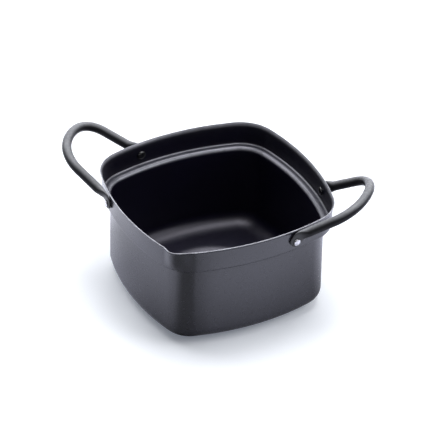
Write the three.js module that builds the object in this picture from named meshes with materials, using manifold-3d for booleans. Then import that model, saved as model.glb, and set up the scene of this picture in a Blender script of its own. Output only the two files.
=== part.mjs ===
// Square deep-fry pot: a pressed steel pot with two bent tube handles, each held by two rivets.
// Millimetres, +Z up. The origin is on the pot's axis, at the level of the surface that the pot stands on.
// The pot's corners lie on the X and Y axes: the handles straddle the corners on X,
// and the pouring spout is in the corner on -Y.

import * as THREE from "three";
import { mergeVertices } from "three/addons/utils/BufferGeometryUtils.js";
import Module from "manifold-3d";

const wasm = await Module();
wasm.setup();

// Pot outline at the rim, outside, seen from above
const RIM_HALF_WIDTH = 103;
const SIDE_BOW_RADIUS = 250;
const CORNER_RADIUS = 40;

// Pot wall, from the rim down to the base
const POT_HEIGHT = 117.4;
const SHEET = 1.2;
const FLARE_RADIUS = 5.3;
const FLARE_ANGLE = 50;
const LEDGE_DEPTH = 24.5;
const LEDGE_STEP = 8.3;
const LEDGE_FILLET = 2;
const SHOULDER_RADIUS = 5;
const BASE_BEND_WIDTH = 20;
const BASE_BEND_HEIGHT = 15;

// Round foot pressed down in the base, inside a flat ring that is narrowest at the middle of each side.
// Its slope is gentle at the outer edge and steep further in.
const BASE_RING_WIDTH = 9.8;
const FOOT_SLOPE = 14.5;
const FOOT_SKEW = 1.7;
const FOOT_DROP = 2.8;

// Pouring spout pressed into one corner, from the ledge to the rim. Its crest is a little left of the
// corner's middle, its left flank is steep, its right flank is gentle and its bottom is rounded.
const SPOUT_REACH = 3.7;
const SPOUT_DIP = 0.3;
const SPOUT_CREST = 5.5;
const SPOUT_LEFT = 11;
const SPOUT_RIGHT = 21.5;
const SPOUT_BOTTOM = 12;

// Rivets: where they sit on the band below the rim, and their own sizes
const RIVET_OFFSET = 45.2;
const RIVET_DROP = 13.7;
const RIVET_SHANK_RADIUS = 2;
const INNER_HEAD_RADIUS = 4.6;
const INNER_HEAD_HEIGHT = 2.1;
const OUTER_HEAD_RADIUS = 3.6;
const OUTER_HEAD_HEIGHT = 1.6;
const HEAD_EDGE = 0.5;

// Handles: tube, loop and flattened end tabs
const TUBE_RADIUS = 4.75;
const TUBE_WALL = 1.1;
const HANDLE_REACH = 63.5;
const HANDLE_TILT = 31.7;
const APEX_RADIUS = 49.5;
const APEX_HALF_ANGLE = 17;
const LOOP_BEND_RADIUS = 31.5;
const TAB_HALF_WIDTH = 7.1;
const TAB_LEAN = 32;
const TAB_RISE = 6;
const TAB_END = 5.4;
const TAB_BEND_RADIUS = 14;
const TAB_FLAT = 5;
const TAB_TAPER = 14;
const TAB_SQUARENESS = 0.75;
const BORE_SLIT = 0.3;

// Clearances between pieces that touch or pass through each other
const SEAT_GAP = 0.35;
const SHANK_CLEARANCE = 0.3;

// Facets
const SIDE_STEPS = 11;
const CORNER_STEPS = 9;
const ARC_STEPS = 3;
const BASE_BEND_STEPS = 6;
const BAND_STEPS = 3;
const FOOT_STEPS = 5;
const TAB_END_STEPS = 4;
const KNEE_STEPS = 5;
const LEG_STEPS = 5;
const LOOP_STEPS = 7;
const APEX_STEPS = 3;
const TUBE_SIDES = 14;
const BORE_SIDES = 10;
const RIVET_SIDES = 18;
const DOME_STEPS = 4;
const SAME_POINT = 1e-4;

const rad = THREE.MathUtils.degToRad;
const smooth = THREE.MathUtils.smoothstep;
const lerp = THREE.MathUtils.lerp;
const UP = new THREE.Vector3(0, 0, 1);

// Levels and offsets that follow from the sizes above. An offset is measured outwards from the rim outline.
const FLARE = rad(FLARE_ANGLE);
const BAND_OFFSET = -FLARE_RADIUS * (1 - Math.cos(FLARE));
const WALL_OFFSET = BAND_OFFSET - LEDGE_STEP;
const FLARE_FOOT = POT_HEIGHT - (SHEET + FLARE_RADIUS) * Math.sin(FLARE);
const LEDGE_LEVEL = POT_HEIGHT - LEDGE_DEPTH - SHEET;
const FOOT_RADIUS = RIM_HALF_WIDTH + WALL_OFFSET - BASE_BEND_WIDTH - BASE_RING_WIDTH;
const SIDE_CENTRE = RIM_HALF_WIDTH - SIDE_BOW_RADIUS;
const TAB_HALF_THICKNESS = TUBE_WALL + BORE_SLIT / 2;
const HOLE_RADIUS = RIVET_SHANK_RADIUS + SHANK_CLEARANCE;

// Points of the rim outline, anticlockwise, with the outward direction at each. A bowed side is an arc about
// a centre beyond the axis, and a corner is an arc that is tangent to the two sides beside it.
function outlineColumns() {
  const gap = SIDE_BOW_RADIUS - CORNER_RADIUS;
  const corner = (SIDE_CENTRE + Math.sqrt(2 * gap ** 2 - SIDE_CENTRE ** 2)) / 2;
  const sideHalf = Math.atan2(corner, corner - SIDE_CENTRE);
  const columns = [];
  const addArc = (turn, u, w, radius, from, to, steps) => {
    for (let i = 0; i < steps; i += 1) {
      const angle = turn + lerp(from, to, i / steps);
      const normal = new THREE.Vector3(Math.cos(angle), Math.sin(angle), 0);
      const centre = new THREE.Vector3(u, w, 0).applyAxisAngle(UP, turn);
      columns.push({ point: centre.addScaledVector(normal, radius), normal });
    }
  };
  for (let quarter = 0; quarter < 4; quarter += 1) {
    const turn = rad(45 + 90 * quarter);
    addArc(turn, SIDE_CENTRE, 0, SIDE_BOW_RADIUS, -sideHalf, sideHalf, SIDE_STEPS);
    addArc(turn, corner, corner, CORNER_RADIUS, sideHalf, Math.PI / 2 - sideHalf, CORNER_STEPS);
  }
  return columns;
}

// Section of the wall's outer face, from the rim's edge down to the flat of the base: offset, level and the
// direction that the face looks in. Moving against that direction by the sheet's thickness gives the inner
// face. A convex bend is a quarter of an oval, from upright to level.
function wallSection() {
  const section = [];
  const add = (offset, level, out, up) => section.push({ offset, level, out, up });
  const convex = (offset, level, width, height, steps) => {
    for (let i = 0; i <= steps; i += 1) {
      const turn = ((Math.PI / 2) * i) / steps;
      const place = Math.atan2(height * Math.sin(turn), width * Math.cos(turn));
      const bow = width * (1 - Math.cos(place));
      add(offset - bow, level - height * Math.sin(place), Math.cos(turn), -Math.sin(turn));
    }
  };
  for (let i = ARC_STEPS; i > 0; i -= 1) {
    const turn = (FLARE * i) / ARC_STEPS;
    const bow = FLARE_RADIUS * (1 - Math.cos(turn));
    add(BAND_OFFSET + bow, FLARE_FOOT + FLARE_RADIUS * Math.sin(turn), Math.cos(turn), -Math.sin(turn));
  }
  const ledgeOuter = LEDGE_FILLET + SHEET;
  const bandFoot = LEDGE_LEVEL + ledgeOuter;
  for (let i = 0; i < BAND_STEPS; i += 1) {
    add(BAND_OFFSET, lerp(FLARE_FOOT, bandFoot, i / BAND_STEPS), 1, 0);
  }
  convex(BAND_OFFSET, bandFoot, ledgeOuter, ledgeOuter, ARC_STEPS);
  const shoulderOuter = SHOULDER_RADIUS - SHEET;
  for (let i = 0; i <= ARC_STEPS; i += 1) {
    const turn = ((Math.PI / 2) * i) / ARC_STEPS;
    const offset = WALL_OFFSET + shoulderOuter * (1 - Math.sin(turn));
    add(offset, LEDGE_LEVEL - shoulderOuter * (1 - Math.cos(turn)), Math.sin(turn), -Math.cos(turn));
  }
  convex(WALL_OFFSET, FOOT_DROP + BASE_BEND_HEIGHT, BASE_BEND_WIDTH, BASE_BEND_HEIGHT, BASE_BEND_STEPS);
  return section;
}

// How the spout moves a point of the wall: a bulge across the corner, out along -Y and a little down. It
// rises over its rounded bottom from nothing at the ledge and then stays full up to the rim.
function spoutMove(column, level) {
  const rise = THREE.MathUtils.clamp((level - LEDGE_LEVEL - SHEET) / SPOUT_BOTTOM, 0, 1);
  const lift = Math.sin((rise * Math.PI) / 2);
  const aside = column.point.x + SPOUT_CREST;
  const across = Math.abs(aside) / (aside < 0 ? SPOUT_LEFT : SPOUT_RIGHT);
  const bulge = column.point.y > 0 || across >= 1 ? 0 : lift * Math.cos((across * Math.PI) / 2) ** 2;
  return new THREE.Vector3(0, -SPOUT_REACH * bulge, -SPOUT_DIP * bulge);
}

// One closed surface over rings of points that run anticlockwise, closed by a pole point at each end.
function ringSurface(startPole, rings, endPole) {
  const count = rings[0].length;
  const positions = [startPole, ...rings.flat(), endPole].flatMap((point) => point.toArray());
  const last = 1 + rings.length * count;
  const index = [];
  for (let j = 0; j < count; j += 1) {
    const next = (j + 1) % count;
    index.push(0, 1 + next, 1 + j);
    for (let i = 0; i < rings.length - 1; i += 1) {
      const low = 1 + i * count;
      const high = low + count;
      index.push(low + j, low + next, high + next, low + j, high + next, high + j);
    }
    index.push(last, last - count + j, last - count + next);
  }
  const geometry = new THREE.BufferGeometry();
  geometry.setAttribute("position", new THREE.Float32BufferAttribute(positions, 3));
  geometry.setIndex(index);
  return geometry;
}

// A closed geometry as a solid that can be cut, and back again.
function solidOf(geometry) {
  const bare = geometry.clone();
  bare.deleteAttribute("normal");
  bare.deleteAttribute("uv");
  const merged = mergeVertices(bare, SAME_POINT);
  const vertProperties = new Float32Array(merged.attributes.position.array);
  const triVerts = new Uint32Array(merged.index.array);
  return new wasm.Manifold(new wasm.Mesh({ numProp: 3, vertProperties, triVerts }));
}

function geometryOf(solid) {
  const mesh = solid.getMesh();
  const geometry = new THREE.BufferGeometry();
  geometry.setAttribute("position", new THREE.BufferAttribute(new Float32Array(mesh.vertProperties), 3));
  geometry.setIndex(new THREE.BufferAttribute(new Uint32Array(mesh.triVerts), 1));
  geometry.computeVertexNormals();
  return geometry;
}

// The mirror image across the YZ plane, with its triangles turned round to face out again.
function mirroredX(geometry) {
  geometry.scale(-1, 1, 1);
  geometry.index.array.reverse();
  geometry.computeVertexNormals();
  return geometry;
}

// Place of a rivet on the band's outer face: its centre there and the wall's outward direction.
function rivetSeat(sideX, sideY) {
  const centre = SIDE_CENTRE * Math.SQRT1_2;
  const radius = SIDE_BOW_RADIUS + BAND_OFFSET;
  const x = centre + Math.sqrt(radius ** 2 - (RIVET_OFFSET - centre) ** 2);
  const point = new THREE.Vector3(sideX * x, sideY * RIVET_OFFSET, POT_HEIGHT - RIVET_DROP);
  const normal = new THREE.Vector3(sideX * (x - centre), sideY * (RIVET_OFFSET - centre), 0).normalize();
  return { point, normal };
}

// Distances along a rivet's axis from the band's outer face, outwards positive.
const TAB_CENTRE = SEAT_GAP + TAB_HALF_THICKNESS;
const INNER_SEAT = -SHEET - SEAT_GAP;
const OUTER_SEAT = TAB_CENTRE + TAB_HALF_THICKNESS + SEAT_GAP;

// Turns a shape made about the Y axis so that it lies along a rivet's axis.
function placeOnRivet(geometry, seat) {
  const turn = new THREE.Quaternion().setFromUnitVectors(new THREE.Vector3(0, 1, 0), seat.normal);
  return geometry.applyQuaternion(turn).translate(seat.point.x, seat.point.y, seat.point.z);
}

// The round hole that a rivet's shank passes through, long enough for the pot wall and the tab.
function rivetHole(seat) {
  const length = 2 * (OUTER_SEAT - INNER_SEAT);
  const round = new THREE.CylinderGeometry(HOLE_RADIUS, HOLE_RADIUS, length, RIVET_SIDES);
  return solidOf(placeOnRivet(round, seat));
}

// Rivet: a shank with a domed head at each end.
function rivet(seat) {
  const profile = [];
  const dome = (radius, height, seatLevel, way) => {
    const points = [new THREE.Vector2(radius, seatLevel)];
    for (let i = 0; i <= DOME_STEPS; i += 1) {
      const turn = ((Math.PI / 2) * i) / DOME_STEPS;
      const level = HEAD_EDGE + (height - HEAD_EDGE) * Math.sin(turn);
      points.push(new THREE.Vector2(i === DOME_STEPS ? 0 : radius * Math.cos(turn), seatLevel + way * level));
    }
    return points;
  };
  profile.push(...dome(INNER_HEAD_RADIUS, INNER_HEAD_HEIGHT, INNER_SEAT, -1).reverse());
  profile.push(new THREE.Vector2(RIVET_SHANK_RADIUS, INNER_SEAT));
  profile.push(new THREE.Vector2(RIVET_SHANK_RADIUS, OUTER_SEAT));
  profile.push(...dome(OUTER_HEAD_RADIUS, OUTER_HEAD_HEIGHT, OUTER_SEAT, 1));
  return geometryOf(solidOf(placeOnRivet(new THREE.LatheGeometry(profile, RIVET_SIDES), seat)));
}

// Pot: the wall section carried round the outline, outside up and inside down, with the base closed by
// a round foot that lies a little lower than the ring round it.
function potBody() {
  const columns = outlineColumns();
  const section = wallSection();
  const wallRing = ({ offset, level, out, up }, depth) => columns.map((column) => {
    const height = level - depth * up;
    const point = column.point.clone().addScaledVector(column.normal, offset - depth * out);
    return point.addScaledVector(UP, height).add(spoutMove(column, height));
  });
  const footRing = (share, depth) => columns.map((column) => {
    const turn = Math.atan2(column.point.y, column.point.x);
    const radius = FOOT_RADIUS - FOOT_SLOPE * share;
    const level = depth + FOOT_DROP * (1 - smooth(share ** FOOT_SKEW, 0, 1));
    return new THREE.Vector3(radius * Math.cos(turn), radius * Math.sin(turn), level);
  });
  const shares = Array.from({ length: FOOT_STEPS + 1 }, (_, i) => i / FOOT_STEPS);
  const face = (depth) => [
    ...section.map((step) => wallRing(step, depth)),
    ...shares.map((share) => footRing(share, depth)),
  ];
  const underside = new THREE.Vector3(0, 0, 0);
  const upside = new THREE.Vector3(0, 0, SHEET);
  let solid = solidOf(ringSurface(underside, [...face(0).reverse(), ...face(SHEET)], upside));
  for (const sideX of [-1, 1]) {
    for (const sideY of [-1, 1]) {
      solid = solid.subtract(rivetHole(rivetSeat(sideX, sideY)));
    }
  }
  return geometryOf(solid);
}

// Half of a handle's centreline, from the end of the tab on the +Y side up to the middle of the loop, for the
// handle on +X. Each station has its point, its direction of travel and its distance from the rivet.
function handleHalf(seat) {
  const tabCentre = seat.point.clone().addScaledVector(seat.normal, TAB_CENTRE);
  const along = new THREE.Vector3().crossVectors(seat.normal, UP);
  const lean = rad(TAB_LEAN);
  const tabUp = UP.clone().multiplyScalar(Math.cos(lean)).addScaledVector(along, Math.sin(lean));
  const knee = tabCentre.clone().addScaledVector(tabUp, TAB_RISE);

  // The loop lies in a plane that tilts up from the two knees: s is measured up the tilt, and y across it.
  const tilt = new THREE.Vector3(Math.cos(rad(HANDLE_TILT)), 0, Math.sin(rad(HANDLE_TILT)));
  const inPlane = (s, y) => new THREE.Vector3(knee.x, y, knee.z).addScaledVector(tilt, s);
  const apexHalf = rad(APEX_HALF_ANGLE);
  const apexCentre = HANDLE_REACH - APEX_RADIUS;
  const bendS = apexCentre + (APEX_RADIUS - LOOP_BEND_RADIUS) * Math.cos(apexHalf);
  const bendY = (APEX_RADIUS - LOOP_BEND_RADIUS) * Math.sin(apexHalf);
  const reach = Math.hypot(bendS, bendY - knee.y);
  const legAngle = Math.atan2(bendY - knee.y, bendS) + Math.asin(LOOP_BEND_RADIUS / reach);
  const legEnd = Math.sqrt(reach ** 2 - LOOP_BEND_RADIUS ** 2);
  const legDirection = inPlane(Math.cos(legAngle), knee.y + Math.sin(legAngle)).sub(knee);

  // The bend at the knee turns the tube from the tab's direction into the leg's.
  const turn = tabUp.angleTo(legDirection);
  const bendLength = TAB_BEND_RADIUS * Math.tan(turn / 2);
  const inward = legDirection.clone().addScaledVector(tabUp, -Math.cos(turn)).normalize();
  const bendStart = knee.clone().addScaledVector(tabUp, -bendLength);

  const stations = [];
  const add = (point, travel) => stations.push({ point, travel });
  for (let i = 0; i < TAB_END_STEPS; i += 1) {
    const back = Math.cos(((Math.PI / 2) * (i + 0.5)) / (TAB_END_STEPS + 0.5));
    add(tabCentre.clone().addScaledVector(tabUp, -TAB_END * back), tabUp);
  }
  add(tabCentre, tabUp);
  for (let i = 0; i <= KNEE_STEPS; i += 1) {
    const angle = (turn * i) / KNEE_STEPS;
    const point = bendStart.clone().addScaledVector(tabUp, TAB_BEND_RADIUS * Math.sin(angle));
    point.addScaledVector(inward, TAB_BEND_RADIUS * (1 - Math.cos(angle)));
    add(point, tabUp.clone().multiplyScalar(Math.cos(angle)).addScaledVector(inward, Math.sin(angle)));
  }
  for (let i = 1; i <= LEG_STEPS; i += 1) {
    add(knee.clone().addScaledVector(legDirection, lerp(bendLength, legEnd, i / LEG_STEPS)), legDirection);
  }
  const addArc = (s, y, radius, from, to, steps) => {
    for (let i = 1; i <= steps; i += 1) {
      const angle = lerp(from, to, i / steps);
      const travel = new THREE.Vector3(0, -Math.cos(angle), 0).addScaledVector(tilt, Math.sin(angle));
      add(inPlane(s + radius * Math.cos(angle), y + radius * Math.sin(angle)), travel);
    }
  };
  addArc(bendS, bendY, LOOP_BEND_RADIUS, legAngle + Math.PI / 2, apexHalf, LOOP_STEPS);
  addArc(apexCentre, 0, APEX_RADIUS, apexHalf, 0, APEX_STEPS);
  return withDistances(stations, tabCentre);
}

// Gives each station its distance from the rivet along the tube, negative towards the tab's end.
function withDistances(stations, rivetPoint) {
  const atRivet = stations.findIndex((station) => station.point === rivetPoint);
  stations.forEach((station, i) => {
    const before = stations[Math.max(i - 1, 0)];
    const step = station.point.distanceTo(before.point);
    station.distance = i > atRivet ? before.distance + step : -station.point.distanceTo(rivetPoint);
  });
  return stations;
}

// Ring of the tube at a station. Round on the loop and the legs, it is pressed flat against the wall at the
// tab, and the tab's end is round. The tube wall's thickness taken off gives the bore.
function tubeRing(station, seat, inset, sides) {
  const flat = 1 - smooth(station.distance, TAB_FLAT, TAB_FLAT + TAB_TAPER);
  const back = Math.max(-station.distance / TAB_END, 0);
  const width = (lerp(TUBE_RADIUS, TAB_HALF_WIDTH, flat) - inset) * Math.sqrt(1 - back ** 2);
  const thickness = lerp(TUBE_RADIUS, TAB_HALF_THICKNESS, flat) - inset;
  const power = lerp(1, TAB_SQUARENESS, flat);
  const lengthwise = seat.normal.dot(station.travel);
  const away = seat.normal.clone().addScaledVector(station.travel, -lengthwise).normalize();
  const across = new THREE.Vector3().crossVectors(away, station.travel);
  const squared = (value) => Math.sign(value) * Math.abs(value) ** power;
  return Array.from({ length: sides }, (_, j) => {
    const angle = (2 * Math.PI * (j + 0.5)) / sides;
    const point = station.point.clone().addScaledVector(across, width * squared(Math.cos(angle)));
    return point.addScaledVector(away, thickness * squared(Math.sin(angle)));
  });
}

// Closed tube through the stations of one half and their mirror image across the XZ plane.
function tubeSurface(half, seat, inset, sides) {
  const rings = half.map((station) => tubeRing(station, seat, inset, sides));
  const flip = new THREE.Vector3(1, -1, 1);
  const mirrored = rings.slice(0, -1).map((ring) => ring.map((point) => point.clone().multiply(flip)));
  const start = half[0].point;
  const end = start.clone().multiply(flip);
  return ringSurface(start, [...rings, ...mirrored.reverse()], end);
}

// Handle on +X, or its mirror image on -X: the tube, less its bore and its two rivet holes. The bore runs
// from one rivet hole to the other.
function handle(sideX) {
  const seat = rivetSeat(1, 1);
  const half = handleHalf(seat);
  const bored = half.filter((station) => station.distance >= 0);
  let solid = solidOf(tubeSurface(half, seat, 0, TUBE_SIDES));
  solid = solid.subtract(solidOf(tubeSurface(bored, seat, TUBE_WALL, BORE_SIDES)));
  for (const sideY of [-1, 1]) {
    solid = solid.subtract(rivetHole(rivetSeat(1, sideY)));
  }
  const geometry = geometryOf(solid);
  return sideX > 0 ? geometry : mirroredX(geometry);
}

const coat = (color, roughness) => new THREE.MeshStandardMaterial({ color, roughness, metalness: 0.2 });
const bareSteel = () => new THREE.MeshStandardMaterial({ color: 0xc4c4c6, roughness: 0.3, metalness: 1 });

function named(name, geometry, material) {
  const mesh = new THREE.Mesh(geometry, material);
  mesh.name = name;
  return mesh;
}

const pot = new THREE.Group();
pot.add(named("pot_body", potBody(), coat(0x1c1c20, 0.4)));
for (const [sideName, sideX] of [["left", -1], ["right", 1]]) {
  pot.add(named(`handle_${sideName}`, handle(sideX), coat(0x17171a, 0.45)));
  for (const [endName, sideY] of [["front", -1], ["back", 1]]) {
    pot.add(named(`rivet_${sideName}_${endName}`, rivet(rivetSeat(sideX, sideY)), bareSteel()));
  }
}

export default pot;
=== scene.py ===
"""Square deep-fry pot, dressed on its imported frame.

One pressed pot, two bent tube handles and four set rivets. Sizes in the classes are millimetres. Meshes are
metres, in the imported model's frame: +Z up, the pot's corners on the X and Y axes, the handles on X and the
spout on -Y.
"""

import logging
from dataclasses import dataclass
from enum import Enum

import bpy
import numpy as np
from mathutils import Matrix, Vector


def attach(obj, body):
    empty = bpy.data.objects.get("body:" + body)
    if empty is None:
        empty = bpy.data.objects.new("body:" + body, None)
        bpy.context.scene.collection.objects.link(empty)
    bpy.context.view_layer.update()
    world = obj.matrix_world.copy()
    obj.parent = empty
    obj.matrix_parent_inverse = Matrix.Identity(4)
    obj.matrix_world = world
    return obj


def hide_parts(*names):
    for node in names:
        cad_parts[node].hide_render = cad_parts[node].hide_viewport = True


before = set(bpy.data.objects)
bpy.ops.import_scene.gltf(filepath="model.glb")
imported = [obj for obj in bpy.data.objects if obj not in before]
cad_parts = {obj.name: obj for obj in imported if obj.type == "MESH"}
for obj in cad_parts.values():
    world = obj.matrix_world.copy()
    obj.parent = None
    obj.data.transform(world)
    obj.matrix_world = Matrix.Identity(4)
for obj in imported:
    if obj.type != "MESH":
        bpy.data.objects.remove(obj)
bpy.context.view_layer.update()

LOG = logging.getLogger("pot")
MM = 0.001
UP = np.array([0.0, 0.0, 1.0])
QUARTER = np.pi / 2.0
Array = np.ndarray
Span = tuple[float, float]
Ramp = tuple[Span, Span]
Colour = tuple[float, float, float]
Piece = bpy.types.Object
Socket = bpy.types.NodeSocket


class Side(Enum):
    """The side of the pot that a handle is on. The value is the sign of X."""

    LEFT = -1
    RIGHT = 1


class Wall(Enum):
    """The wall that a handle's end is riveted to. The value is the sign of Y."""

    FRONT = -1
    BACK = 1


class Face(Enum):
    """The two faces of the pressed sheet, as material slots of the pot's mesh."""

    OUTSIDE = 0
    INSIDE = 1


class Head(Enum):
    """The two heads of a rivet, as material slots of its mesh."""

    OUTER = 0
    INNER = 1


# Arrays and meshes


def smoothstep(value: Array, low: float, high: float) -> Array:
    """Smooth ramp: 3t^2 - 2t^3, where t is the share of the way from low to high, held between 0 and 1."""
    share = np.clip((value - low) / (high - low), 0.0, 1.0)
    return share * share * (3.0 - 2.0 * share)


def unit(vectors: Array) -> Array:
    """Vectors of length 1 in the same directions."""
    return vectors / np.linalg.norm(vectors, axis=-1, keepdims=True)


def turned(vectors: Array, angle: float) -> Array:
    """Vectors in the XY plane turned anticlockwise by radians: x cos - y sin and x sin + y cos."""
    cos, sin = np.cos(angle), np.sin(angle)
    return vectors @ np.array([[cos, sin], [-sin, cos]])


def bend(centre: Span, half: Span, turns: Span, steps: int, way: int = 1) -> Array:
    """Part of an oval in a plane, by the turn of its face. A point lies at the angle whose tangent is that of
    the turn times height / width, so on a circle the two angles are the same.

    Args:
        centre: The oval's centre.
        half: Half its width and half its height.
        turns: The turn of the face where it starts and stops, from outwards to downwards, in radians.
        steps: How many points it has.
        way: 1 for a bulging bend, -1 for a hollow one.

    Returns:
        Rows of a place's two parts and the two parts of its face's direction.
    """
    turn = np.linspace(*turns, steps)
    face = np.stack([np.cos(turn), -np.sin(turn)], axis=-1)
    angle = np.arctan2(half[1] * np.sin(turn), half[0] * np.cos(turn))
    spot = np.stack([half[0] * np.cos(angle), -half[1] * np.sin(angle)], axis=-1)
    return np.hstack([np.array(centre) + way * spot, face])


def upright(offset: float, top: float, bottom: float, steps: int) -> Array:
    """Straight wall in a section, without its two ends.

    Args:
        offset: Its offset.
        top: Level of its top.
        bottom: Level of its bottom.
        steps: How many points it has with its ends.

    Returns:
        Rows like those of a bend.
    """
    level = np.linspace(top, bottom, steps)[1:-1]
    ones = np.ones_like(level)
    return np.stack([offset * ones, level, ones, 0.0 * ones], axis=-1)


def loft(
    name: str, rings: Array, start: Array, end: Array, slots: Array | None = None, flip: bool = False,
) -> Piece:
    """Closed surface over rings of points, each end closed by a fan to one point.

    Point (i, j) of the grid joins (i, j + 1), where j wraps round, and (i + 1, j). A cell has four sides.

    Args:
        name: The piece's name.
        rings: Points in millimetres, as rings by points by 3.
        start: The point that closes the first ring.
        end: The point that closes the last ring.
        slots: A material slot for each band of faces, with the two fans as the first and the last band.
        flip: Whether the faces are turned round, for a mirrored shape.

    Returns:
        The new object, smooth, at the origin.
    """
    rows, count = rings.shape[:2]
    points = np.vstack([start, rings.reshape(-1, 3), end]) * MM
    j = np.arange(count)
    k = (j + 1) % count
    low = 1 + count * np.arange(rows - 1)[:, None]
    last = 1 + rows * count
    first_fan = np.stack([np.zeros_like(j), 1 + k, 1 + j], axis=-1)
    quads = np.stack([low + j, low + k, low + count + k, low + count + j], axis=-1).reshape(-1, 4)
    last_fan = np.stack([np.full_like(j, last), last - count + j, last - count + k], axis=-1)
    order = -1 if flip else 1
    faces = [face for part in (first_fan, quads, last_fan) for face in part[:, ::order].tolist()]
    mesh = bpy.data.meshes.new(name)
    mesh.from_pydata(points.tolist(), [], faces)
    mesh.polygons.foreach_set("use_smooth", np.ones(len(faces), bool))
    if slots is not None:
        mesh.polygons.foreach_set("material_index", np.repeat(slots, count).astype(np.int32))
    mesh.update()
    piece = bpy.data.objects.new(name, mesh)
    bpy.context.scene.collection.objects.link(piece)
    return piece


def paint_points(piece: Piece, name: str, values: Array) -> None:
    """Writes one number per point of a piece as an attribute that a material can read."""
    attribute = piece.data.attributes.new(name, "FLOAT", "POINT")
    attribute.data.foreach_set("value", values.astype(np.float32))


# Finishes


@dataclass(frozen=True)
class NodeSheet:
    """The node tree of a material or a world, emptied, with short calls to add and join nodes.

    Attributes:
        owner: The material or the world.
    """

    owner: bpy.types.Material | bpy.types.World

    def __post_init__(self) -> None:
        """Empties the tree."""
        self.owner.use_nodes = True
        self.owner.node_tree.nodes.clear()

    def add(self, kind: str, values: dict | None = None, **settings: object) -> bpy.types.Node:
        """Adds a node.

        Args:
            kind: Blender's name for the node, without ShaderNode.
            values: Socket values, or sockets of other nodes to link in, by socket name or number.
            settings: The node's own properties.

        Returns:
            The new node.
        """
        tree = self.owner.node_tree
        node = tree.nodes.new("ShaderNode" + kind)
        for key, value in settings.items():
            setattr(node, key, value)
        for key, value in (values or {}).items():
            if isinstance(value, Socket):
                tree.links.new(value, node.inputs[key])
            else:
                node.inputs[key].default_value = value
        return node

    def noise(self, size: float, detail: float) -> Socket:
        """Noise on Object coordinates.

        Args:
            size: The width of its features, in millimetres.
            detail: How many finer layers it has.

        Returns:
            Its output, between 0 and 1.
        """
        place = self.add("TexCoord").outputs["Object"]
        node = self.add("TexNoise", {"Vector": place, "Scale": 1.0 / (size * MM), "Detail": detail})
        return node.outputs["Fac"]

    def ramp(self, value: Socket, span: Span, to: Span) -> Socket:
        """A number carried from one range to another, held at its ends."""
        spans = {"Value": value, 1: span[0], 2: span[1], 3: to[0], 4: to[1]}
        return self.add("MapRange", spans, clamp=True).outputs["Result"]

    def blend(self, share: Socket, low: Colour | Socket, high: Colour | Socket) -> Socket:
        """Colour between low and high, by share.

        Args:
            share: 0 for low, 1 for high.
            low: A colour, or a socket.
            high: The same.

        Returns:
            The mixed colour's socket.
        """
        colours = [(*colour, 1.0) if isinstance(colour, tuple) else colour for colour in (low, high)]
        node = self.add("Mix", {0: share, 6: colours[0], 7: colours[1]}, data_type="RGBA")
        return node.outputs[2]

    def mix(self, share: Socket, low: float | Socket, high: float | Socket) -> Socket:
        """Number between low and high, by share."""
        return self.add("Mix", {0: share, 2: low, 3: high}).outputs[0]

    def math(self, operation: str, *values: float | Socket) -> Socket:
        """Result of a sum on numbers or sockets, by Blender's name for it."""
        return self.add("Math", dict(enumerate(values)), operation=operation).outputs[0]

    def skin(self, height: Socket, depth: float) -> Socket:
        """Normal of a skin whose bumps are up to a depth in millimetres."""
        values = {"Height": height, "Strength": 1.0, "Distance": depth * MM}
        return self.add("Bump", values).outputs["Normal"]

    def finish(self, shader: bpy.types.Node) -> bpy.types.Material:
        """Joins the shader to a material's output and gives the material."""
        self.add("OutputMaterial", {"Surface": shader.outputs[0]})
        return self.owner


SHEEN_SPAN = (0.3, 0.7)
WEAR_AND_HIGHLIGHT_SPAN = (0.3, 0.6)


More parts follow.
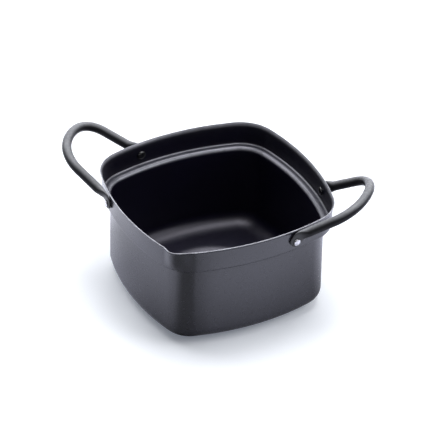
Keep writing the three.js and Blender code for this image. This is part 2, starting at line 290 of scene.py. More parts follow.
@dataclass(frozen=True)
class Finish:
    """Satin coating with an orange-peel skin, lighter where its edges are scuffed and where highlights are
    painted, or bare metal with tool marks.

    Attributes:
        name: The material's name.
        colour: Its main colour.
        bloom: The colour of its faint clouds or marks.
        roughness: Its least and greatest roughness.
        specular: How strongly it reflects, where 0.5 is usual for paint.
        tint: The colour of its gloss.
        metallic: 0 for a coating, 1 for bare metal.
        clouds: Width and detail of its clouds or marks.
        cloud_span: Range of their noise over which they come in.
        sheen: Width and detail of its patches of roughness.
        grain: The same of its bumps.
        grain_height: Height of those bumps.
        wear_and_highlight_colour: The colour of scuffed edges and of painted highlights, where its mesh
            carries an edge attribute.
        wear_and_highlight: Width and detail of the patches that break up the scuffing and the painted
            highlights.
        patch: How much of the scuffing and painted highlight is left in their faintest patches.
        rubbed: How much of that attribute makes an edge fully polished.
        polish: What the roughness is multiplied by there.
    """

    name: str
    colour: Colour
    bloom: Colour
    roughness: Span
    specular: float
    tint: Colour = (1.0, 1.0, 1.0)
    metallic: float = 0.0
    clouds: Span = (38.0, 3.0)
    cloud_span: Span = (0.35, 0.68)
    sheen: Span = (3.0, 4.0)
    grain: Span = (0.6, 1.0)
    grain_height: float = 0.003
    wear_and_highlight_colour: Colour | None = None
    wear_and_highlight: Span = (7.0, 3.0)
    patch: float = 0.35
    rubbed: float = 0.3
    polish: float = 0.5

    def material(self) -> bpy.types.Material:
        """Builds the nodes: cloudy colour, uneven roughness and a bumpy skin, all on Object coordinates.

        Returns:
            The material.
        """
        sheet = NodeSheet(bpy.data.materials.new(self.name))
        clouds = sheet.ramp(sheet.noise(*self.clouds), self.cloud_span, (0.0, 1.0))
        colour = sheet.blend(clouds, self.colour, self.bloom)
        roughness = sheet.ramp(sheet.noise(*self.sheen), SHEEN_SPAN, self.roughness)
        # Scuffing and painted highlight: the edge attribute, broken into patches, blends in a lighter colour
        # and lowers the roughness.
        if self.wear_and_highlight_colour:
            edge = sheet.add("Attribute", attribute_name="edge").outputs["Fac"]
            patchy = sheet.ramp(sheet.noise(*self.wear_and_highlight), WEAR_AND_HIGHLIGHT_SPAN, (self.patch, 1.0))
            colour = sheet.blend(sheet.math("MULTIPLY", edge, patchy), colour, self.wear_and_highlight_colour)
            polish = sheet.ramp(edge, (0.0, self.rubbed), (1.0, self.polish))
            roughness = sheet.math("MULTIPLY", roughness, polish)
        skin = sheet.skin(sheet.noise(*self.grain), self.grain_height)
        return sheet.finish(sheet.add("BsdfPrincipled", {
            "Base Color": colour, "Metallic": self.metallic, "Roughness": roughness, "Normal": skin,
            "Specular IOR Level": self.specular, "Specular Tint": (*self.tint, 1.0),
        }))


# Lighter colour of the scuffed rim, and of the painted highlights along the rim and the ledge's two bends.
WEAR_AND_HIGHLIGHT_COLOUR = (0.46, 0.46, 0.50)
OUTSIDE_COAT = Finish(
    "outside_coat", (0.015, 0.015, 0.022), (0.018, 0.018, 0.026), (0.22, 0.28), 0.8, wear_and_highlight_colour=WEAR_AND_HIGHLIGHT_COLOUR,
)
INSIDE_COAT = Finish(
    "inside_coat", (0.001, 0.0007, 0.006), (0.0015, 0.001, 0.008), (0.36, 0.42), 0.5,
    tint=(0.94, 0.90, 1.0), wear_and_highlight_colour=WEAR_AND_HIGHLIGHT_COLOUR, patch=0.75,
)
# Its lighter colour is a painted highlight on the tubes' tops and a painted reflection on the tabs.
HANDLE_COAT = Finish(
    "handle_coat", (0.006, 0.006, 0.008), (0.008, 0.008, 0.010), (0.32, 0.36), 0.16,
    grain=(0.5, 1.0), wear_and_highlight_colour=(0.21, 0.21, 0.22), patch=0.9, polish=0.8,
)
RIVET_BLACK = Finish(
    "rivet_black", (0.006, 0.006, 0.007), (0.010, 0.010, 0.011), (0.12, 0.18), 1.0, grain=(0.5, 1.0),
)
RIVET_STEEL = Finish(
    "rivet_steel", (0.68, 0.68, 0.70), (0.20, 0.20, 0.21), (0.14, 0.26), 0.5, metallic=1.0,
    clouds=(1.6, 4.0), cloud_span=(0.4, 0.75), sheen=(0.8, 3.0), grain=(0.9, 2.0), grain_height=0.02,
)


# The pot


class Part:
    """A sub-assembly, whose meshes are built and then dressed."""

    def dress(self, piece: Piece, nodes: list[str], slot: str, materials: list[bpy.types.Material]) -> Piece:
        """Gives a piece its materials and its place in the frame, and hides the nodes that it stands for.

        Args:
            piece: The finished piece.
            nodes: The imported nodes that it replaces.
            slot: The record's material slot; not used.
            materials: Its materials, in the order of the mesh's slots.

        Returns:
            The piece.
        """
        for material in materials:
            piece.data.materials.append(material)
        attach(piece, "root")
        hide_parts(*nodes)
        return piece


@dataclass(frozen=True)
class Pot(Part):
    """The pressed pot: bowed sides, round corners, flared rim, ledge, spout and a round foot in its base.

    Attributes:
        half_width: From the axis to the rim at the middle of a side.
        side_bow: Radius of a side, seen from above.
        corner: Radius of a corner, seen from above.
        height: Height of the rim.
        sheet: Thickness of the steel.
        flare: Radius of the rim's flare.
        flare_angle: How far the flare turns, in degrees.
        ledge_depth: From the rim down to the ledge.
        ledge_step: How far the ledge steps in.
        ledge_fillet: Inside radius at the back of the ledge.
        shoulder: Inside radius at the front of the ledge.
        fillet: Width and height of the oval bend between wall and base, outside.
        foot: Radius of the round foot that is pressed down in the base.
        foot_slope: Width of its slope.
        foot_skew: Power that makes its slope gentle at the outer edge and steep further in.
        foot_drop: How far it stands below the base round it.
        spout_reach: How far the spout pushes the rim out.
        spout_dip: How far it draws the rim down.
        spout_crest: How far left of the corner's middle it is deepest.
        spout_flanks: Widths of its left and its right flank.
        spout_bottom: Height of its rounded bottom, above the ledge.
        rim_wear_and_highlight: How many rings of the mesh the scuffing and painted highlight of the rim
            reach, outside and inside.
        ridge_highlight: How strong the painted highlight is on the two bends of the ledge, inside, which also
            polishes them.
        ridge_width: How far from 45 degrees a bend still carries it, as a change of the face's lean.
        outline_steps: Columns of the mesh on a side and on a corner.
        edge_steps: Points of the section round the rim's edge.
        wall_steps: The same on the flare, the band, each bend of the ledge, the wall and the fillet.
        base_steps: The same on the flat of the base, the foot's slope and the foot.
    """

    half_width: float = 103.0
    side_bow: float = 250.0
    corner: float = 40.0
    height: float = 117.4
    sheet: float = 1.2
    flare: float = 5.3
    flare_angle: float = 50.0
    ledge_depth: float = 24.5
    ledge_step: float = 8.3
    ledge_fillet: float = 2.0
    shoulder: float = 5.0
    fillet: Span = (20.0, 15.0)
    foot: float = 63.01
    foot_slope: float = 14.5
    foot_skew: float = 1.7
    foot_drop: float = 2.8
    spout_reach: float = 3.7
    spout_dip: float = 0.3
    spout_crest: float = 5.5
    spout_flanks: Span = (11.0, 21.5)
    spout_bottom: float = 12.0
    rim_wear_and_highlight: Span = (1.6, 7.5)
    ridge_highlight: float = 0.55
    ridge_width: float = 0.35
    outline_steps: tuple[int, int] = (52, 60)
    edge_steps: int = 9
    wall_steps: tuple[int, ...] = (12, 10, 9, 16, 18)
    base_steps: tuple[int, ...] = (10, 11, 8)

    @property
    def flare_turn(self) -> float:
        """The flare's angle in radians."""
        return float(np.radians(self.flare_angle))

    @property
    def band_offset(self) -> float:
        """Offset of the band from the rim's outline, negative because it lies inside."""
        return -self.flare * (1.0 - np.cos(self.flare_turn))

    @property
    def side_centre(self) -> float:
        """Place of a side's arc centre along the line from the axis to the middle of the side."""
        return self.half_width - self.side_bow

    @property
    def ledge_level(self) -> float:
        """Level of the ledge's underside."""
        return self.height - self.ledge_depth - self.sheet

    def outline(self) -> tuple[Array, Array]:
        """Rim outline, anticlockwise: in each quarter a bowed side, which is an arc about a point beyond the
        axis, and a corner, which is an arc tangent to the two sides beside it.

        Returns:
            The points and the outward directions, each as columns by 2.
        """
        side_steps, corner_steps = self.outline_steps
        gap = self.side_bow - self.corner
        corner = (self.side_centre + np.sqrt(2.0 * gap**2 - self.side_centre**2)) / 2.0
        side_half = np.arctan2(corner, corner - self.side_centre)
        side = np.linspace(-side_half, side_half, side_steps, endpoint=False)
        round_corner = np.linspace(side_half, QUARTER - side_half, corner_steps, endpoint=False)
        angles = np.concatenate([side, round_corner])
        normals = np.stack([np.cos(angles), np.sin(angles)], axis=-1)
        on_side = np.arange(len(angles)) < len(side)
        centres = np.where(on_side[:, None], [[self.side_centre, 0.0]], [[corner, corner]])
        radii = np.where(on_side, self.side_bow, self.corner)
        points = centres + radii[:, None] * normals
        quarters = QUARTER * (np.arange(4) + 0.5)
        all_points = np.concatenate([turned(points, turn) for turn in quarters])
        all_normals = np.concatenate([turned(normals, turn) for turn in quarters])
        return all_points, all_normals

    def section(self) -> tuple[Array, Array]:
        """Outer face of the wall from the rim's edge to the flat base: a hollow flare, the band, the bulging
        and the hollow bend of the ledge, the wall and an oval fillet, each tangent to the next.

        Returns:
            Places as offset from the rim outline and level, and face directions as outwards and upwards.
        """
        flare_steps, band_steps, ledge_steps, wall_steps, fillet_steps = self.wall_steps
        wall_offset = self.band_offset - self.ledge_step
        flare_foot = self.height - (self.sheet + self.flare) * np.sin(self.flare_turn)
        flare_centre = (self.band_offset + self.flare, flare_foot)
        ledge = self.ledge_fillet + self.sheet
        ledge_centre = (self.band_offset - ledge, self.ledge_level + ledge)
        shoulder = self.shoulder - self.sheet
        shoulder_centre = (wall_offset + shoulder, self.ledge_level - shoulder)
        fillet_centre = (wall_offset - self.fillet[0], self.foot_drop + self.fillet[1])
        rows = np.vstack([
            bend(flare_centre, (self.flare, self.flare), (self.flare_turn, 0.0), flare_steps, -1),
            upright(self.band_offset, flare_foot, ledge_centre[1], band_steps),
            bend(ledge_centre, (ledge, ledge), (0.0, QUARTER), ledge_steps),
            bend(shoulder_centre, (shoulder, shoulder), (QUARTER, 0.0), ledge_steps, -1),
            upright(wall_offset, shoulder_centre[1], fillet_centre[1], wall_steps),
            bend(fillet_centre, self.fillet, (0.0, QUARTER), fillet_steps),
        ])
        return rows[:, :2], rows[:, 2:]

    def spout_move(self, points: Array, level: Array) -> Array:
        """Move of each wall point by the spout, out along -Y and a little down: lift times cos squared across
        each flank. The lift is a quarter of a sine over the rounded bottom and 1 above it.

        Args:
            points: Outline points, as columns by 2.
            level: Levels of the rings, one each.

        Returns:
            Moves, as rings by columns by 3.
        """
        rise = (level - self.ledge_level - self.sheet) / self.spout_bottom
        lift = np.sin(np.clip(rise, 0.0, 1.0) * QUARTER)[:, None]
        aside = points[:, 0] + self.spout_crest
        across = np.clip(aside / np.where(aside < 0.0, *self.spout_flanks), -1.0, 1.0)
        bulge = np.where(points[:, 1] < 0.0, lift * np.cos(across * QUARTER) ** 2, 0.0)
        return np.stack([np.zeros_like(bulge), -self.spout_reach * bulge, -self.spout_dip * bulge], axis=-1)

    def base_rings(self, points: Array, rim: Array, depth: float) -> Array:
        """Rings of the base from the wall's fillet inwards: a flat ring, then the slope down to the foot,
        whose level follows the smooth ramp of a power of the share of its width, and the flat foot.

        Args:
            points: Outline points, as columns by 2, for the direction of each column.
            rim: The ring where the fillet ends.
            depth: How far above the underside this face is.

        Returns:
            The rings, without the one given.
        """
        flat_steps, slope_steps, foot_steps = self.base_steps
        turn = np.arctan2(points[:, 1], points[:, 0])
        direction = np.stack([np.cos(turn), np.sin(turn), 0.0 * turn], axis=-1)
        edge = direction * self.foot + (depth + self.foot_drop) * UP
        share = np.linspace(0.0, 1.0, flat_steps)[1:, None, None]
        flat = rim + share * (edge - rim)
        share = np.linspace(0.0, 1.0, slope_steps)[1:, None, None]
        level = depth + self.foot_drop * (1.0 - smoothstep(share**self.foot_skew, 0.0, 1.0))
        slope = direction * (self.foot - self.foot_slope * share) + level * UP
        share = np.linspace(1.0, 0.0, foot_steps, endpoint=False)[1:, None, None]
        floor = direction * (self.foot - self.foot_slope) * share + depth * UP
        return np.concatenate([flat, slope, floor])

    def wall_rings(self, places: Array) -> Array:
        """Rings of the wall: the outline moved outwards by each place's offset, at its level, and shaped by
        the spout.

        Args:
            places: Offset and level of each ring.

        Returns:
            Points, as rings by columns by 3.
        """
        points, normals = self.outline()
        flat = points + places[:, :1, None] * normals
        level = np.broadcast_to(places[:, 1:, None], (*flat.shape[:2], 1))
        return np.concatenate([flat, level], axis=-1) + self.spout_move(points, places[:, 1])

    def ridges(self, places: Array, facing: Array) -> Array:
        """Painted highlight on the ledge's two bends, inside, which also polishes them: a peak where the face
        leans at 45 degrees.

        Args:
            places: Offset and level of each ring.
            facing: Directions of the outer face.

        Returns:
            The painted highlight, one number for each ring.
        """
        level = places[:, 1]
        lean = np.abs(-facing[:, 1] - np.sqrt(0.5))
        wear_and_highlight = self.ridge_highlight * np.maximum(0.0, 1.0 - lean / self.ridge_width)
        above = level > self.ledge_level + self.ledge_fillet + self.sheet
        below = level < self.ledge_level - self.shoulder
        return np.where(above | below, 0.0, wear_and_highlight)

    def build(self) -> Piece:
        """Carries the section round the outline, outside up and inside down, over a half-round rim edge. The
        rim's scuffing and painted highlight fall off as a bell curve, exp(-(rings / reach)^2).

        Returns:
            The pot's mesh object, with an edge attribute and a material slot for each face of the sheet.
        """
        outside, facing = self.section()
        inside = outside - self.sheet * facing
        half = self.sheet / 2.0
        along = np.array([-facing[0, 1], facing[0, 0]])
        turn = np.linspace(-QUARTER, QUARTER, self.edge_steps)[1:-1, None]
        middle = outside[0] - half * facing[0] - half * along
        edge = middle + half * (np.cos(turn) * along - np.sin(turn) * facing[0])
        highlit_bends = self.ridges(outside, facing)
        for places in (outside, inside):
            places[0] -= half * along
        points = self.outline()[0]
        outer_rings = self.wall_rings(outside)
        inner_rings = self.wall_rings(inside)
        outer_base = self.base_rings(points, outer_rings[-1], 0.0)
        inner_base = self.base_rings(points, inner_rings[-1], self.sheet)
        parts = [outer_base[::-1], outer_rings[::-1], self.wall_rings(edge), inner_rings, inner_base]
        rings = np.concatenate(parts)
        first_edge = len(outer_base) + len(outer_rings)
        first_inside = first_edge + len(edge)
        rim = first_edge + len(edge) // 2
        slots = np.where(np.arange(len(rings) + 1) <= rim, Face.OUTSIDE.value, Face.INSIDE.value)
        piece = loft("pot_body_skin", rings, 0.0 * UP, self.sheet * UP, slots)
        # Scuffing and painted highlight round the rim, plus the painted highlight on the ledge's bends.
        past_rim = np.arange(len(rings)) - rim
        wear_and_highlight = np.exp(-((past_rim / np.where(past_rim < 0, *self.rim_wear_and_highlight)) ** 2))
        wear_and_highlight[first_inside:first_inside + len(highlit_bends)] += highlit_bends
        paint_points(piece, "edge", np.concatenate([[0.0], np.repeat(wear_and_highlight, len(points)), [0.0]]))
        return piece


# Rivets and handles


@dataclass(frozen=True)
class Seat:
    """Where a rivet sits on the band's outer face.

    Attributes:
        point: Its place.
        normal: The wall's outward direction there.
    """

    point: Array
    normal: Array


@dataclass(frozen=True)
class Rivet(Part):
    """A set rivet: a shank through wall and tab, a factory head inside and a formed head outside.

    Attributes:
        offset: From the XZ plane to the rivet.
        drop: From the rim down to the rivet.
        shank: Radius of the shank.
        inner: Radius and height of the head inside the pot.
        outer: The same of the head outside.
        head_edge: Height of a head's straight edge.
        head_chamfer: Width of the chamfer below it.
        gap: Clearance between neighbours.
        sides: Points of the mesh round the axis.
        dome_steps: Points of the profile on a head's dome.
        sharp: Angle between faces above which an edge is sharp, in degrees.
    """

    offset: float = 45.2
    drop: float = 13.7
    shank: float = 2.0
    inner: Span = (4.6, 2.1)
    outer: Span = (3.6, 1.6)
    head_edge: float = 0.5
    head_chamfer: float = 0.15
    gap: float = 0.35
    sides: int = 64
    dome_steps: int = 14
    sharp: float = 50.0

    def seat(self, pot: Pot, side: Side, wall: Wall) -> Seat:
        """Place on the bowed band: where the arc of the side is the rivet's offset away from the XZ plane.

        Args:
            pot: The pot.
            side: The handle's side.
            wall: The wall.

        Returns:
            The seat.
        """
        centre = pot.side_centre * np.sqrt(0.5)
        x = centre + np.sqrt((pot.side_bow + pot.band_offset) ** 2 - (self.offset - centre) ** 2)
        sign = np.array([side.value, wall.value, 1.0])
        normal = unit(np.array([x - centre, self.offset - centre, 0.0]))
        return Seat(sign * np.array([x, self.offset, pot.height - self.drop]), sign * normal)

    def dome(self, head: Span, base: float, way: int) -> Array:
        """Profile of a head from its seat to just short of its crown: a chamfer, a straight edge, then a
        level that follows the sine of an angle and a radius that follows its cosine.

        Args:
            head: The head's radius and height.
            base: Level of its seat.
            way: 1 for a head that stands outwards, -1 for one that stands inwards.

        Returns:
            Rows of radius and level.
        """
        radius, height = head
        turn = np.linspace(0.0, QUARTER, self.dome_steps)[:-1]
        level = base + way * (self.head_edge + (height - self.head_edge) * np.sin(turn))
        edge = np.array([[radius - self.head_chamfer, base], [radius, base + way * self.head_chamfer]])
        return np.vstack([edge, np.stack([radius * np.cos(turn), level], axis=-1)])

    def build(self, name: str, seat: Seat, sheet: float, tab: float) -> Piece:
        """Turns the profile about the seat's normal: inner head, shank, outer head.

        Args:
            name: The piece's name.
            seat: Where the rivet sits.
            sheet: Thickness of the pot's wall.
            tab: Thickness of the handle's tab.

        Returns:
            The rivet's mesh object, with the inner head in its own material slot.
        """
        inner_seat = -sheet - self.gap
        outer_seat = tab + 2.0 * self.gap
        inner = self.dome(self.inner, inner_seat, -1)[::-1]
        shank = np.array([[self.shank, inner_seat], [self.shank, outer_seat]])
        outer = self.dome(self.outer, outer_seat, 1)
        profile = np.vstack([inner, shank, outer])
        side = np.cross(UP, seat.normal)
        angle = np.linspace(0.0, 2.0 * np.pi, self.sides, endpoint=False)[:, None]
        spoke = np.cos(angle) * side + np.sin(angle) * np.cross(seat.normal, side)
        rings = seat.point + profile[:, :1, None] * spoke + profile[:, 1:, None] * seat.normal
        inner_crown = seat.point + (inner_seat - self.inner[1]) * seat.normal
        outer_crown = seat.point + (outer_seat + self.outer[1]) * seat.normal
        slots = np.where(np.arange(len(rings) + 1) <= len(inner), Head.INNER.value, Head.OUTER.value)
        piece = loft(name, rings, inner_crown, outer_crown, slots)
        piece.data.set_sharp_from_angle(angle=np.radians(self.sharp))
        return piece


@dataclass(frozen=True)
class Handle(Part):
    """A handle bent from one tube, with its ends pressed flat against the wall.

    Attributes:
        seat: The rivet's seat on +X and +Y.
        gap: Clearance between the wall and the tab.
        radius: Of the tube.
        wall: Thickness of the tube.
        slit: Gap left inside the pressed end.
        reach: From the knees to the middle of the loop, up the tilt.
        tilt: Of the loop, in degrees.
        apex_radius: Radius of the loop's far end.
        apex_half_angle: Half the angle of that arc, in degrees.
        bend_radius: Radius of the two bends beside it.
        tab_half_width: Half the width of the pressed end.
        tab_lean: How far a tab leans from upright, in degrees.
        tab_rise: From the rivet up to the knee.
        tab_end: From the rivet down to the tab's end.
        knee_radius: Radius of the bend from tab to leg.
        tab_flat: How far above the rivet the tube is fully flat.
        tab_taper: Over what length it becomes round.
        squareness: Power of the pressed section's rounded rectangle.
        end_round: Power that rounds the tab's end over its thickness.
        tab_painted_reflection: How strong the painted reflection is on the pressed ends, which also polishes
            them.
        top_highlight: Upward part of a normal where the painted highlight on its top begins.
        sides: Points of the mesh round the tube.
        steps: Rings on a tab's round end, a knee, a leg, a bend of the loop and half of its far end.
        straight: Places of the rings on a tab's straight stretch, as shares of it.
    """

    seat: Seat
    gap: float
    radius: float = 4.75
    wall: float = 1.1
    slit: float = 0.3
    reach: float = 63.5
    tilt: float = 31.7
    apex_radius: float = 49.5
    apex_half_angle: float = 17.0
    bend_radius: float = 31.5
    tab_half_width: float = 7.1
    tab_lean: float = 32.0
    tab_rise: float = 6.0
    tab_end: float = 5.4
    knee_radius: float = 14.0
    tab_flat: float = 5.0
    tab_taper: float = 14.0
    squareness: float = 0.75
    end_round: float = 0.12
    tab_painted_reflection: float = 0.25
    top_highlight: float = 0.35
    sides: int = 56
    steps: tuple[int, ...] = (16, 24, 30, 40, 12)
    straight: Span = (0.35, 0.7)

    @property
    def tab_thickness(self) -> float:
        """Thickness of the pressed end."""
        return 2.0 * self.wall + self.slit

    def centreline(self) -> tuple[Array, Array, Array]:
        """Half of the handle on +X and +Y, from the tab's end to the middle of the loop: straight tab, knee
        arc, straight leg, bend arc and apex arc, each tangent to the next. The loop lies in a plane that
        tilts up from the knees.

        Returns:
            Points, directions of travel, and distances from the rivet along the tube.
        """
        end_steps, knee_steps, leg_steps, bend_steps, apex_steps = self.steps
        centre = self.seat.point + (self.gap + self.tab_thickness / 2.0) * self.seat.normal
        along = np.cross(self.seat.normal, UP)
        lean, tilt_angle, apex_half = np.radians([self.tab_lean, self.tilt, self.apex_half_angle])
        rise = np.cos(lean) * UP + np.sin(lean) * along
        knee = centre + self.tab_rise * rise
        plane = np.array([[np.cos(tilt_angle), 0.0, np.sin(tilt_angle)], [0.0, 1.0, 0.0]])

        apex_s = self.reach - self.apex_radius
        bend_s = apex_s + (self.apex_radius - self.bend_radius) * np.cos(apex_half)
        bend_y = (self.apex_radius - self.bend_radius) * np.sin(apex_half)
        span = np.hypot(bend_s, bend_y - knee[1])
        leg_angle = np.arctan2(bend_y - knee[1], bend_s) + np.arcsin(self.bend_radius / span)
        leg_end = np.sqrt(span**2 - self.bend_radius**2)
        leg = np.array([np.cos(leg_angle), np.sin(leg_angle)]) @ plane

        turn = np.arccos(rise @ leg)
        bend_length = self.knee_radius * np.tan(turn / 2.0)
        inward = unit(leg - np.cos(turn) * rise)

        share = (np.arange(end_steps) + 0.5) / (end_steps + 0.5)
        end = centre - self.tab_end * np.cos(QUARTER * share)[:, None] * rise
        straight = centre + np.array(self.straight)[:, None] * (self.tab_rise - bend_length) * rise
        tab = np.vstack([end, centre, straight])
        angle = np.linspace(0.0, turn, knee_steps)[:, None]
        curl = np.sin(angle) * rise + (1.0 - np.cos(angle)) * inward
        arc = knee - bend_length * rise + self.knee_radius * curl
        length = np.linspace(bend_length, leg_end, leg_steps)[1:, None]
        bend_radii, apex_radii = (self.bend_radius,) * 2, (self.apex_radius,) * 2
        loop = np.vstack([
            bend((bend_s, bend_y), bend_radii, (-leg_angle - QUARTER, -apex_half), bend_steps + 1)[1:],
            bend((apex_s, 0.0), apex_radii, (-apex_half, 0.0), apex_steps + 1)[1:],
        ])
        loop_points = np.array([knee[0], 0.0, knee[2]]) + loop[:, :2] @ plane
        loop_travel = np.stack([loop[:, 3], -loop[:, 2]], axis=-1) @ plane
        points = np.vstack([tab, arc, knee + length * leg, loop_points])
        travel = np.vstack([
            np.tile(rise, (len(tab), 1)), np.cos(angle) * rise + np.sin(angle) * inward,
            np.tile(leg, (len(length), 1)), loop_travel,
        ])
        steps = np.linalg.norm(np.diff(points, axis=0), axis=1)
        distance = np.concatenate([[0.0], np.cumsum(steps)])
        return points, travel, distance - distance[end_steps]

    def rings(self) -> tuple[Array, Array, Array]:
        """Rings of the tube. On the legs and the loop a ring is a circle. Towards the tab it becomes a flat
        rounded rectangle, a power of cosine and sine, and its width follows a half circle at the tab's end.

        Returns:
            The rings of the whole handle on +X, how flat each is, and the middle of the first tab's end.
        """
        points, travel, distance = self.centreline()
        flat = 1.0 - smoothstep(distance, self.tab_flat, self.tab_flat + self.tab_taper)
        end = 1.0 - np.clip(-distance / self.tab_end, 0.0, 1.0) ** 2
        width = (self.radius + flat * (self.tab_half_width - self.radius)) * np.sqrt(end)
        thickness = (self.radius + flat * (self.tab_thickness / 2.0 - self.radius)) * end**self.end_round
        power = (1.0 + flat * (self.squareness - 1.0))[:, None]
        away = unit(self.seat.normal - (travel @ self.seat.normal)[:, None] * travel)
        across = np.cross(away, travel)
        angle = 2.0 * np.pi * (np.arange(self.sides) + 0.5) / self.sides
        cos, sin = np.cos(angle), np.sin(angle)
        u = width[:, None] * np.sign(cos) * np.abs(cos) ** power
        v = thickness[:, None] * np.sign(sin) * np.abs(sin) ** power
        half = points[:, None] + u[..., None] * across[:, None] + v[..., None] * away[:, None]
        other = half[:-1] * np.array([1.0, -1.0, 1.0])
        return np.concatenate([half, other[::-1]]), np.concatenate([flat, flat[-2::-1]]), points[0]

    def build(self, name: str, side: Side) -> Piece:
        """Lofts the rings, mirrored across the YZ plane for the left side. The edge attribute carries a
        painted highlight on top, by the upward part of each point's normal, and a painted reflection on the
        tabs.

        Args:
            name: The piece's name.
            side: The handle's side.

        Returns:
            The handle's mesh object, with an edge attribute.
        """
        rings, flat, end = self.rings()
        mirror = np.array([side.value, 1.0, 1.0])
        other_end = end * np.array([1.0, -1.0, 1.0])
        piece = loft(name, rings * mirror, end * mirror, other_end * mirror, flip=side is Side.LEFT)
        normals = np.empty(3 * len(piece.data.vertices))
        piece.data.vertices.foreach_get("normal", normals)
        # Painted highlight on the top, painted reflection on the tabs.
        top = smoothstep(normals[2::3], self.top_highlight, 1.0)
        tabs = np.concatenate([[1.0], np.repeat(flat, self.sides), [1.0]])
        paint_points(piece, "edge", np.maximum(top, self.tab_painted_reflection * tabs))
        return piece


# Stage


@dataclass(frozen=True)
class Softbox:
    """A flat studio lamp that faces the pot.

    Attributes:
        name: The lamp's name.
        place: Where it hangs, in metres.
        size: Its width and height, in metres.
        brightness: Its radiance, where 1 is the white of the floor.
        colour: Its colour, a slightly cool white.
        target: The point that it faces, in metres.
    """

    name: str
    place: tuple[float, float, float]
    size: Span
    brightness: float
    colour: Colour = (0.93, 0.955, 1.0)
    target: tuple[float, float, float] = (0.0, 0.0, 0.05)

    def build(self) -> Piece:
        """Hangs the lamp so that it faces the pot. Its power is pi times its area times its radiance.

        Returns:
            The lamp.
        """
        lamp = bpy.data.lights.new(self.name, "AREA")
        lamp.shape = "RECTANGLE"
        lamp.size, lamp.size_y = self.size
        lamp.energy = np.pi * self.size[0] * self.size[1] * self.brightness
        lamp.color = self.colour
        box = bpy.data.objects.new(self.name, lamp)
        aim = Vector(self.target) - Vector(self.place)
        turn = aim.to_track_quat("-Z", "Y").to_matrix().to_4x4()
        box.matrix_world = Matrix.Translation(self.place) @ turn
        box.visible_camera = False
        bpy.context.scene.collection.objects.link(box)
        return box


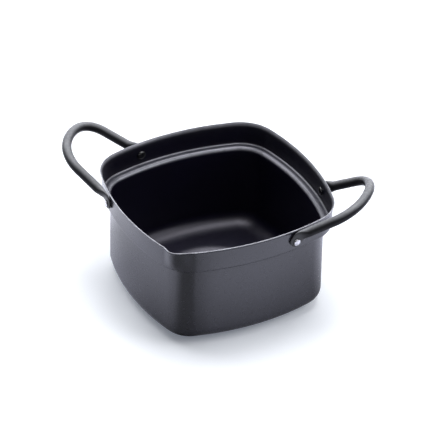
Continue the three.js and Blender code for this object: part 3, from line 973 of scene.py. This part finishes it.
@dataclass(frozen=True)
class Floor:
    """White floor that keeps the pot's shadow. Its own glow keeps it white for the camera. In the coat's
    reflections it shows a painted glow: dim in front of the near corner, brighter towards the back left, with
    a painted shadow towards the pot's foot. A ramp gives a range in metres and the share of the light at each
    end.

    Attributes:
        half: Half its width, in metres.
        cells: How many cells its grid has across.
        colour: Its colour as it lights the pot.
        seen: Its colour under the glow, for the camera.
        glow: Light that the camera sees.
        mirror_colour: Its colour in reflections, under the mirrored light.
        mirrored_light: Light that reflections see.
        mirrored_left: The same at the back left.
        corner: Place of the near corner's middle on -Y, in metres.
        front: Where the front lies about it, in degrees from -Y towards +X, and half the front's angle.
        front_blur: Where the front's dimness starts to fade and is gone, as shares of that half angle.
        pot_half: From the axis to the foot of a side, in metres.
        clear: How far from the pot the mirrored light is full, in metres.
        foot_share: How much of it is left at the pot's foot, where its shadow is painted.
        left: Ramp over X of the least that remains there on the left.
        near: Ramp over Y that dims the near side.
        back_left: Ramp over Y less X of the light at the back left.
    """

    half: float = 6.0
    cells: int = 8
    colour: Colour = (0.86, 0.88, 0.92)
    seen: Colour = (0.95, 0.95, 0.95)
    glow: Colour = (0.13, 0.145, 0.175)
    mirror_colour: Colour = (0.20, 0.20, 0.20)
    mirrored_light: Colour = (1.16, 1.19, 1.46)
    mirrored_left: Colour = (1.78, 1.82, 2.10)
    corner: float = 0.077
    front: Span = (10.0, 30.0)
    front_blur: Span = (0.6, 1.4)
    pot_half: float = 0.088
    clear: float = 0.11
    foot_share: float = 0.1
    left: Ramp = ((-0.1, 0.0), (0.45, 0.0))
    near: Ramp = ((-0.2, 0.0), (0.78, 1.0))
    back_left: Ramp = ((0.1, 0.22), (0.0, 1.0))

    def mirrored(self, sheet: NodeSheet) -> Socket:
        """Painted light that reflections see: painted dark by the angle about the near corner, and rising out
        of a painted shadow at the pot's foot with the distance from a square that stands on its corner, (|x|
        + |y|) / sqrt(2), and towards the back.

        Args:
            sheet: The floor's node tree.

        Returns:
            The colour's socket.
        """
        place = sheet.add("SeparateXYZ", {0: sheet.add("TexCoord").outputs["Object"]}).outputs
        x, y = place["X"], place["Y"]
        middle, spread = np.radians(self.front).tolist()
        # Painted dark patch in front of the near corner, seen only in reflections.
        angle = sheet.math("ARCTAN2", x, sheet.math("SUBTRACT", -self.corner, y))
        aside = sheet.math("ABSOLUTE", sheet.math("SUBTRACT", angle, middle))
        blur = (self.front_blur[0] * spread, self.front_blur[1] * spread)
        front = sheet.ramp(aside, blur, (0.0, 1.0))
        square = sheet.math("ADD", sheet.math("ABSOLUTE", x), sheet.math("ABSOLUTE", y))
        edges = (np.array([self.pot_half, self.pot_half + self.clear]) * np.sqrt(2.0)).tolist()
        # Painted shadow round the pot's foot, seen only in reflections.
        open_floor = sheet.ramp(square, edges, (self.foot_share, 1.0))
        open_floor = sheet.math("MAXIMUM", open_floor, sheet.ramp(x, *self.left))
        share = sheet.math("MULTIPLY", sheet.math("MULTIPLY", open_floor, front), sheet.ramp(y, *self.near))
        back_left = sheet.ramp(sheet.math("SUBTRACT", y, x), *self.back_left)
        light = sheet.blend(back_left, self.mirrored_light, self.mirrored_left)
        return sheet.blend(share, (0.0, 0.0, 0.0), light)

    def material(self) -> bpy.types.Material:
        """Builds the nodes: a matt white plus a glow, each with its own colour for camera and reflections.

        Returns:
            The material.
        """
        sheet = NodeSheet(bpy.data.materials.new("floor_white"))
        path = sheet.add("LightPath").outputs
        direct = sheet.math("MAXIMUM", path["Is Camera Ray"], path["Is Glossy Ray"])
        indirect = sheet.blend(path["Is Glossy Ray"], self.colour, self.mirror_colour)
        lit = sheet.add("BsdfDiffuse", {"Color": sheet.blend(path["Is Camera Ray"], indirect, self.seen)})
        light = sheet.blend(path["Is Glossy Ray"], self.glow, self.mirrored(sheet))
        glow = sheet.add("Emission", {"Color": light, "Strength": direct})
        return sheet.finish(sheet.add("AddShader", {0: lit.outputs[0], 1: glow.outputs[0]}))

    def build(self) -> Piece:
        """Flat grid of points at level 0, with its material.

        Returns:
            The floor.
        """
        row = self.cells + 1
        side = np.linspace(-self.half, self.half, row)
        x, y = np.meshgrid(side, side)
        points = np.stack([x, y, 0.0 * x], axis=-1).reshape(-1, 3)
        low = (row * np.arange(self.cells)[:, None] + np.arange(self.cells)).ravel()
        faces = np.stack([low, low + 1, low + row + 1, low + row], axis=-1)
        mesh = bpy.data.meshes.new("floor")
        mesh.from_pydata(points.tolist(), [], faces.tolist())
        mesh.materials.append(self.material())
        floor = bpy.data.objects.new("floor", mesh)
        bpy.context.scene.collection.objects.link(floor)
        return floor


@dataclass(frozen=True)
class Studio:
    """White surroundings and soft lamps. A ramp gives a range of the upward part of a direction and the
    brightness at each end.

    Attributes:
        floor: The floor.
        fill: How bright the surroundings are as a light.
        wall: Ramp of the white round the horizon, in reflections.
        zenith: The same of the ceiling overhead.
        lamps: The lamps.
    """

    floor: Floor = Floor()
    fill: float = 0.25
    wall: Ramp = ((0.05, 0.5), (1.0, 0.0))
    zenith: Ramp = ((0.7, 0.9), (0.0, 1.0))
    lamps: tuple[Softbox, ...] = (
        Softbox("overhead_softbox", (0.0, 0.25, 1.5), (1.0, 1.0), 6.8),
        Softbox("back_softbox", (0.0, 2.2, 1.3), (2.4, 1.4), 1.6),
        Softbox("left_softbox", (-1.5, 0.6, 1.8), (1.4, 1.0), 4.7),
        Softbox("right_softbox", (1.7, 0.2, 1.45), (1.4, 1.3), 3.15),
    )

    def surroundings(self) -> None:
        """World: white for the camera, a weaker fill as a light, and in reflections white at the horizon and
        overhead, and dark between them.
        """
        world = bpy.data.worlds.new("surroundings")
        bpy.context.scene.world = world
        sheet = NodeSheet(world)
        path = sheet.add("LightPath").outputs
        rise = sheet.add("SeparateXYZ", {0: sheet.add("TexCoord").outputs["Generated"]}).outputs["Z"]
        sky = sheet.math("MAXIMUM", sheet.ramp(rise, *self.wall), sheet.ramp(rise, *self.zenith))
        mirrored = sheet.math("MAXIMUM", path["Is Glossy Ray"], path["Is Transmission Ray"])
        level = sheet.mix(path["Is Camera Ray"], sheet.mix(mirrored, self.fill, sky), 1.0)
        back = sheet.add("Background", {"Color": (1.0, 1.0, 1.0, 1.0), "Strength": level})
        sheet.add("OutputWorld", {"Surface": back.outputs[0]})

    def build(self) -> None:
        """Sets the floor, the surroundings, the lamps and the view transform."""
        self.floor.build()
        self.surroundings()
        for lamp in self.lamps:
            lamp.build()
        bpy.context.scene.view_settings.view_transform = "Standard"
        LOG.info("studio: floor and %d lamps", len(self.lamps))


@dataclass(frozen=True)
class ViewPoint:
    """The camera, a long lens above the near corner.

    Attributes:
        azimuth: Degrees from -Y towards +X.
        elevation: Degrees above the floor.
        roll: How far the camera is tilted, in degrees.
        distance: From the middle of the pot.
        middle: Level of the middle of the pot.
        aim: How far right of the middle and above it the lens points.
        focal_length: Of the lens.
        sensor: Width of the sensor.
        clip: The nearest and farthest that it sees, in metres.
    """

    azimuth: float = 17.625
    elevation: float = 35.07
    roll: float = 1.25
    distance: float = 3066.0
    middle: float = 60.6
    aim: Span = (2.9, 14.2)
    focal_length: float = 256.96
    sensor: float = 36.0
    clip: Span = (0.1, 50.0)

    def build(self) -> Piece:
        """Places the camera on a sphere about the pot's middle, aims it and makes it the scene's camera.

        Returns:
            The camera.
        """
        azimuth, elevation, roll = np.radians([self.azimuth, self.elevation, self.roll])
        level_back = np.array([np.sin(azimuth), -np.cos(azimuth), 0.0])
        level_right = np.array([np.cos(azimuth), np.sin(azimuth), 0.0])
        back = np.cos(elevation) * level_back + np.sin(elevation) * UP
        level_up = np.cross(back, level_right)
        right = np.cos(roll) * level_right + np.sin(roll) * level_up
        up = np.cos(roll) * level_up - np.sin(roll) * level_right
        place = self.middle * UP + self.distance * back
        target = self.middle * UP + self.aim[0] * right + self.aim[1] * up
        axis = unit(place - target)
        right = unit(np.cross(up, axis))
        turn = np.stack([right, np.cross(axis, right), axis], axis=-1)
        lens = bpy.data.cameras.new("camera")
        lens.lens = self.focal_length
        lens.sensor_width = self.sensor
        lens.clip_start, lens.clip_end = self.clip
        camera = bpy.data.objects.new("camera", lens)
        camera.matrix_world = Matrix.Translation(Vector(place * MM)) @ Matrix(turn.tolist()).to_4x4()
        bpy.context.scene.collection.objects.link(camera)
        bpy.context.scene.camera = camera
        return camera


def main() -> None:
    """Builds and dresses the pot, then the handles and their rivets, reports them and sets the stage."""
    logging.basicConfig(level=logging.INFO, format="%(message)s")
    pot, rivet = Pot(), Rivet()
    handle = Handle(rivet.seat(pot, Side.RIGHT, Wall.BACK), rivet.gap)
    pot_coats = [OUTSIDE_COAT.material(), INSIDE_COAT.material()]
    pieces = [pot.dress(pot.build(), ["pot_body"], "pot_coat", pot_coats)]
    tube_coat, steel, black = HANDLE_COAT.material(), RIVET_STEEL.material(), RIVET_BLACK.material()
    for side in Side:
        name = f"handle_{side.name.lower()}"
        tube = handle.build(f"{name}_tube", side)
        pieces.append(handle.dress(tube, [name], "handle_coat", [tube_coat]))
        for wall in Wall:
            name = f"rivet_{side.name.lower()}_{wall.name.lower()}"
            pin = rivet.build(f"{name}_set", rivet.seat(pot, side, wall), pot.sheet, handle.tab_thickness)
            pieces.append(rivet.dress(pin, [name], "rivet_steel", [steel, black]))
    for piece in pieces:
        LOG.info("%s: %d faces", piece.name, len(piece.data.polygons))
    Studio().build()
    ViewPoint().build()


if __name__ == "__main__":
    main()
